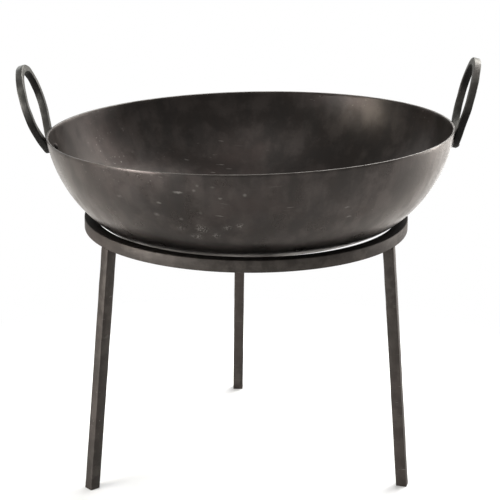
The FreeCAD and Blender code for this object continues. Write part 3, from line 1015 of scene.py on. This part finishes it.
@dataclass
class Handle:
    """Loop of forged bar on the wall, with its rivet and the bead under its foot."""

    bowl: Bowl
    side: Side
    bearing: float
    tilt: float
    bar: float = 0.011
    top_radius: float = 0.0545
    foot_radius: float = 0.025
    centre_distance: float = 0.046
    foot_depth: float = 0.026
    gap: float = 0.0002
    edge_round: float = 0.0019
    top_steps: int = 72
    foot_steps: int = 30
    side_steps: int = 8
    forge_depth: float = 0.00045
    forge_scale: float = 55.0
    # Painted shade on the loop: the reach above the rim over which it fades, and the upward part of the
    # normal where it ends and where it is full.
    soot_reach: float = 0.085
    smoke_clean: float = 0.3
    smoke_black: float = -0.25
    rivet_radius: float = 0.003
    head_radius: float = 0.006
    head_height: float = 0.004
    tail_radius: float = 0.004
    tail_height: float = 0.0025
    rivet_segments: int = 32
    dome_steps: int = 8
    bead_radius: float = 0.0032
    bead_sweep: float = math.radians(86)
    bead_ripples: int = 9

    @property
    def place(self) -> Matrix:
        """Frame on the wall at the foot: x along the rim, y up the wall, z out of it, tilted about z."""
        lean = math.asin(math.sin(self.bowl.wall_lean) + self.foot_depth / self.bowl.wall_radius)
        outward = sloping(lean)
        upward = sloping(lean - QUARTER_TURN)
        axes = Matrix((Y_AXIS, upward, outward)).transposed().to_4x4()
        foot = Matrix.Translation(self.bowl.wall_centre + outward * self.bowl.wall_radius)
        return self.bowl.place @ turned(self.bearing, "Z") @ foot @ axes @ turned(self.tilt, "Z")

    def build_loop(self) -> Object:
        """Bends the bar into its closed pear shape.

        Returns:
            The loop.
        """
        shape = bmesh.new()
        depth = Z_AXIS * (self.gap + self.bar / 2)
        foot_centre = Y_AXIS * self.foot_radius + depth
        top_centre = foot_centre + Y_AXIS * self.centre_distance
        slope = math.asin((self.top_radius - self.foot_radius) / self.centre_distance)
        side_length = self.centre_distance * math.cos(slope)
        begin = turned(slope - HALF_TURN, "Z") @ Matrix.Translation(X_AXIS * self.foot_radius)
        along = turned(-QUARTER_TURN, "X")
        bar = SquareBar(shape, self.bar, Matrix.Translation(foot_centre) @ begin @ along)
        outward_side = Vector((math.sin(slope), math.cos(slope), 0)) * side_length
        bar.bend(foot_centre, Z_AXIS, HALF_TURN - 2 * slope, self.foot_steps)
        bar.run(outward_side, self.side_steps)
        bar.bend(top_centre, Z_AXIS, HALF_TURN + 2 * slope, self.top_steps)
        bar.run(Vector((outward_side.x, -outward_side.y, 0)), self.side_steps)
        bar.close()
        bar.round_edges(self.edge_round)
        roughen(shape, self.forge_depth, self.forge_scale)
        set_down(shape, self.place)
        # Painted shade: faces that turn down are darkened, and so is the loop below and just above the rim.
        paint_facing_shade(shape, self.smoke_clean, self.smoke_black)
        rim = self.bowl.rim_height
        steel = replace(HANDLE_STEEL, soot_bottom=rim, soot_top=rim + self.soot_reach)
        return dress(f"handle_{self.side.value}", BodyName.BOWL, shape, steel)

    def build_rivet(self) -> Object:
        """Turns the rivet: domed head inside, shank, and hammered tail outside.

        Returns:
            The rivet.
        """
        shape = bmesh.new()
        under_head = -self.bowl.thickness
        under_tail = self.gap + self.bar
        head_curve = (self.head_radius**2 + self.head_height**2) / (2 * self.head_height)
        tail_curve = (self.tail_radius**2 + self.tail_height**2) / (2 * self.tail_height)
        head_top = under_head - self.head_height
        tail_top = under_tail + self.tail_height
        head_angle = math.asin(self.head_radius / head_curve)
        tail_angle = math.asin(self.tail_radius / tail_curve)
        outline = Outline(shape, Z_AXIS * head_top)
        outline.arc(Z_AXIS * (head_top + head_curve), head_angle, self.dome_steps)
        outline.line(Vector((self.rivet_radius, 0, under_head)))
        outline.line(Vector((self.rivet_radius, 0, under_tail)))
        outline.line(Vector((self.tail_radius, 0, under_tail)))
        outline.arc(Z_AXIS * (tail_top - tail_curve), tail_angle, self.dome_steps)
        outline.turn(self.rivet_segments)
        set_down(shape, self.place)
        return dress(f"handle_rivet_{self.side.value}", BodyName.BOWL, shape, RIVET_STEEL)

    def build_weld(self) -> Object:
        """Lays the bead round the lower edge of the foot.

        Returns:
            The bead.
        """
        shape = bmesh.new()
        middle = Matrix.Translation(Y_AXIS * self.foot_radius)
        edge = Matrix.Translation(X_AXIS * (self.foot_radius + self.bar / 2))
        along = turned(-QUARTER_TURN, "X")

        def path(share: float) -> Matrix:
            """Frame on the foot's lower edge."""
            return middle @ turned(share * self.bead_sweep - QUARTER_TURN, "Z") @ edge @ along

        WeldBead(self.bead_radius, self.bead_ripples).lay(shape, path)
        set_down(shape, self.place)
        return dress(f"handle_weld_{self.side.value}", BodyName.BOWL, shape, WELD_METAL)

    def build(self) -> list[Object]:
        """Builds the loop, its rivet and its bead."""
        return [self.build_loop(), self.build_rivet(), self.build_weld()]


@dataclass
class Ring:
    """Ring of square bar that the bowl lies in, closed by one weld."""

    radius: float = 0.2415
    bar: float = 0.018
    top: float = 0.385
    shift_left: float = 0.002
    shift_back: float = 0.003
    edge_round: float = 0.0014
    steps: int = 240
    # Painted shade on the ring: the upward part of the normal where it starts and where it is full.
    smoke_clean: float = 0.45
    smoke_black: float = 0.85
    seam_bearing: float = math.radians(32.6)
    seam_gap: float = 0.004
    seam_swell: float = 0.0005
    seam_steps: int = 3

    @property
    def place(self) -> Matrix:
        """Frame on the floor under the middle of the ring."""
        return Matrix.Translation((-self.shift_left, self.shift_back, 0))

    @property
    def middle(self) -> float:
        """Radius of the bar's centre line."""
        return self.radius - self.bar / 2

    def stretch(self, width: float, start: float, angle: float, steps: int) -> Mesh:
        """Bends a stretch of bar.

        Args:
            width: Width of the bar.
            start: Bearing where it starts.
            angle: Angle that it covers.
            steps: Divisions of the angle.

        Returns:
            Mesh of the stretch.
        """
        shape = bmesh.new()
        out = Matrix.Translation((self.middle, 0, self.top - self.bar / 2))
        bar = SquareBar(shape, width, turned(start, "Z") @ out @ turned(-QUARTER_TURN, "X"))
        bar.bend(ORIGIN, Z_AXIS, angle, steps)
        bar.round_edges(self.edge_round)
        set_down(shape, self.place)
        return shape

    def build(self) -> list[Object]:
        """Builds the ring, with painted shade on its upward faces under the bowl, and the weld in its seam.

        Returns:
            The ring and the weld.
        """
        seam = self.seam_gap / self.middle
        shape = self.stretch(self.bar, self.seam_bearing, FULL_TURN - seam, self.steps)
        # Painted shade: the ring's upward faces, under the bowl, are darkened.
        paint_facing_shade(shape, self.smoke_clean, self.smoke_black)
        weld = self.stretch(self.bar + self.seam_swell, self.seam_bearing - seam, seam, self.seam_steps)
        return [
            dress("stand_ring", BodyName.STAND, shape, STAND_STEEL),
            dress("ring_seam_weld", BodyName.STAND, weld, WELD_METAL),
        ]


@dataclass
class Leg:
    """Splayed leg of square bar, with the two beads that join it to the ring."""

    ring: Ring
    side: Side
    bearing: float
    twist: float
    bar: float = 0.016
    edge_round: float = 0.0014
    foot_circle: float = 0.2665
    steps: int = 40
    roll_depth: float = 0.0003
    roll_scale: float = 40.0
    bead_radius: float = 0.0033
    bead_length: float = 0.011
    bead_ripples: int = 4

    @property
    def place(self) -> Matrix:
        """Frame on the floor at the foot, turned with the bar's faces."""
        foot = turned(self.bearing, "Z") @ Matrix.Translation(X_AXIS * self.foot_circle)
        return self.ring.place @ foot @ turned(self.twist, "Z")

    @property
    def slant(self) -> Vector:
        """Way from the foot to the leg's top, in the foot's frame."""
        splay = self.foot_circle - self.ring.middle
        rise = self.ring.top - self.ring.bar
        return Vector((-splay * math.cos(self.twist), splay * math.sin(self.twist), rise))

    def build_bar(self) -> Object:
        """Draws the bar from its foot up to the ring.

        Returns:
            The bar.
        """
        shape = bmesh.new()
        bar = SquareBar(shape, self.bar, Matrix())
        bar.run(self.slant, self.steps)
        bar.round_edges(self.edge_round)
        roughen(shape, self.roll_depth, self.roll_scale)
        set_down(shape, self.place)
        return dress(f"leg_{self.side.value}", BodyName.STAND, shape, STAND_STEEL)

    def build_weld(self) -> Object:
        """Lays a bead on each side of the bar's top, under the ring.

        Returns:
            Both beads, as one object.
        """
        shape = bmesh.new()
        for side in (-Y_AXIS, Y_AXIS):
            corner = self.slant + side * (self.bar / 2)

            def path(share: float) -> Matrix:
                """Frame along the corner between leg and ring."""
                along = X_AXIS * (share * self.bead_length)
                return Matrix.Translation(corner + along) @ turned(QUARTER_TURN, "Y")

            WeldBead(self.bead_radius, self.bead_ripples).lay(shape, path)
        set_down(shape, self.place)
        return dress(f"leg_weld_{self.side.value}", BodyName.STAND, shape, WELD_METAL)

    def build(self) -> list[Object]:
        """Builds the bar and its beads."""
        return [self.build_bar(), self.build_weld()]


# Studio


@dataclass(frozen=True)
class Softbox:
    """One square soft light."""

    name: str
    place: Point
    size: float
    power: float
    aim: Point = (0.0, 0.0, 0.45)
    colour: Colour = (1.0, 1.0, 1.0)

    def hang(self) -> None:
        """Adds the light to the scene, facing its aim."""
        light = bpy.data.lights.new(self.name, "AREA")
        light.size = self.size
        light.energy = self.power
        light.color = self.colour
        item = bpy.data.objects.new(self.name, light)
        item.location = self.place
        item.rotation_euler = (Vector(self.aim) - Vector(self.place)).to_track_quat("-Z", "Y").to_euler()
        bpy.context.scene.collection.objects.link(item)


@dataclass
class Studio:
    """Pale floor, soft light and the camera."""

    floor_size: float = 3.2
    floor_colour: Colour = (0.86, 0.86, 0.855)
    floor_roughness: float = 0.9
    fade_start: float = 0.4
    fade_end: float = 0.75
    backdrop_colour: Colour = (1.0, 1.0, 1.0)
    backdrop_strength: float = 1.0
    room_colour: Colour = (1.0, 0.985, 0.965)
    room_strength: float = 0.51
    softboxes: tuple[Softbox, ...] = (
        Softbox("back_softbox", (1.3, 2.3, 2.8), size=2.6, power=175.0, aim=(1.1, 0.8, 0.0)),
        Softbox("back_left_softbox", (-1.4, 2.1, 1.4), size=1.2, power=11.0, colour=(0.9, 0.95, 1.0)),
        Softbox("left_softbox", (-2.1, -0.35, 0.9), size=0.6, power=12.5, colour=(1.0, 0.97, 0.86)),
        Softbox("low_left_softbox", (-1.8, -1.0, 0.38), size=0.7, power=42.0, aim=(0.0, 0.0, 0.2)),
        Softbox("right_softbox", (1.85, 1.65, 1.1), size=1.8, power=44.0),
        Softbox("low_right_softbox", (1.9, 0.75, 0.35), size=0.6, power=18.0, aim=(0.0, 0.0, 0.35)),
        Softbox("front_softbox", (-0.4, -1.5, 3.3), size=2.2, power=16.0, aim=(0.0, -0.9, 0.0)),
    )
    camera_place: Point = (0.0041, -2.5015, 1.0903)
    camera_pitch: float = math.radians(16.959)
    camera_roll: float = math.radians(0.536)
    lens: float = 124.96

    def floor_material(self) -> bpy.types.Material:
        """Pale floor that fades into the white backdrop and is clear from below.

        Returns:
            New material with its node tree.
        """
        material = bpy.data.materials.new("pale_floor")
        material.use_nodes = True
        nodes = NodeTree(material.node_tree)
        far = nodes.ramp(nodes.length(nodes.place), self.fade_start, self.fade_end)
        seen = nodes.add("LightPath").outputs["Is Camera Ray"]
        below = nodes.add("NewGeometry").outputs["Backfacing"]
        looks = {"Base Color": self.floor_colour, "Roughness": self.floor_roughness}
        glow = {"Color": self.backdrop_colour, "Strength": self.backdrop_strength}
        matt = nodes.add("BsdfPrincipled", looks).outputs["BSDF"]
        white = nodes.add("Emission", glow).outputs["Emission"]
        clear = nodes.add("BsdfTransparent").outputs["BSDF"]
        fade = nodes.math("MULTIPLY", seen, far)
        faded = nodes.add("MixShader", {"Fac": fade, 1: matt, 2: white}).outputs["Shader"]
        both = nodes.add("MixShader", {"Fac": below, 1: faded, 2: clear}).outputs["Shader"]
        nodes.add("OutputMaterial", {"Surface": both})
        return material

    def build_floor(self) -> None:
        """Lays the floor."""
        shape = bmesh.new()
        bmesh.ops.create_grid(shape, x_segments=1, y_segments=1, size=self.floor_size)
        mesh = bpy.data.meshes.new("floor")
        shape.to_mesh(mesh)
        shape.free()
        mesh.materials.append(self.floor_material())
        floor = bpy.data.objects.new("floor", mesh)
        bpy.context.scene.collection.objects.link(floor)

    def build_world(self) -> None:
        """Sets the dim even light of the room, behind a white backdrop."""
        world = bpy.data.worlds.new("studio")
        world.use_nodes = True
        nodes = NodeTree(world.node_tree)
        seen = nodes.add("LightPath").outputs["Is Camera Ray"]
        dim = {"Color": self.room_colour, "Strength": self.room_strength}
        white = {"Color": self.backdrop_colour, "Strength": self.backdrop_strength}
        room = nodes.add("Background", dim).outputs["Background"]
        backdrop = nodes.add("Background", white).outputs["Background"]
        both = nodes.add("MixShader", {"Fac": seen, 1: room, 2: backdrop}).outputs["Shader"]
        nodes.add("OutputWorld", {"Surface": both})
        bpy.context.scene.world = world
        bpy.context.scene.view_settings.view_transform = "Standard"

    def build_camera(self) -> None:
        """Sets the camera at the photograph's viewing angle."""
        camera = bpy.data.cameras.new("camera")
        camera.lens = self.lens
        item = bpy.data.objects.new("camera", camera)
        item.location = self.camera_place
        tilt = turned(QUARTER_TURN - self.camera_pitch, "X")
        item.rotation_euler = (tilt @ turned(self.camera_roll, "Z")).to_euler()
        bpy.context.scene.collection.objects.link(item)
        bpy.context.scene.camera = item

    def build(self) -> None:
        """Builds the floor, the room, the lights and the camera."""
        self.build_floor()
        self.build_world()
        for softbox in self.softboxes:
            softbox.hang()
        self.build_camera()


def main() -> None:
    """Builds the brazier and its studio, and logs the faces of each piece."""
    logging.basicConfig(level=logging.INFO, format="%(message)s")
    bowl = Bowl()
    right_handle = Handle(bowl, Side.RIGHT, bearing=math.radians(-1.5), tilt=math.radians(-20))
    left_handle = Handle(bowl, Side.LEFT, bearing=math.radians(176.6), tilt=math.radians(-6.5))
    ring = Ring()
    back_bearing = math.radians(92.6)
    twist_degrees = {Side.BACK: -3, Side.LEFT: 8, Side.RIGHT: 13}
    legs = [
        Leg(ring, side, back_bearing + number * FULL_TURN / len(twist_degrees), math.radians(twist))
        for number, (side, twist) in enumerate(twist_degrees.items())
    ]
    for assembly in (bowl, right_handle, left_handle, ring, *legs):
        for piece in assembly.build():
            LOG.info("%s: %d faces", piece.name, len(piece.data.polygons))
    Studio().build()


if __name__ == "__main__":
    main()
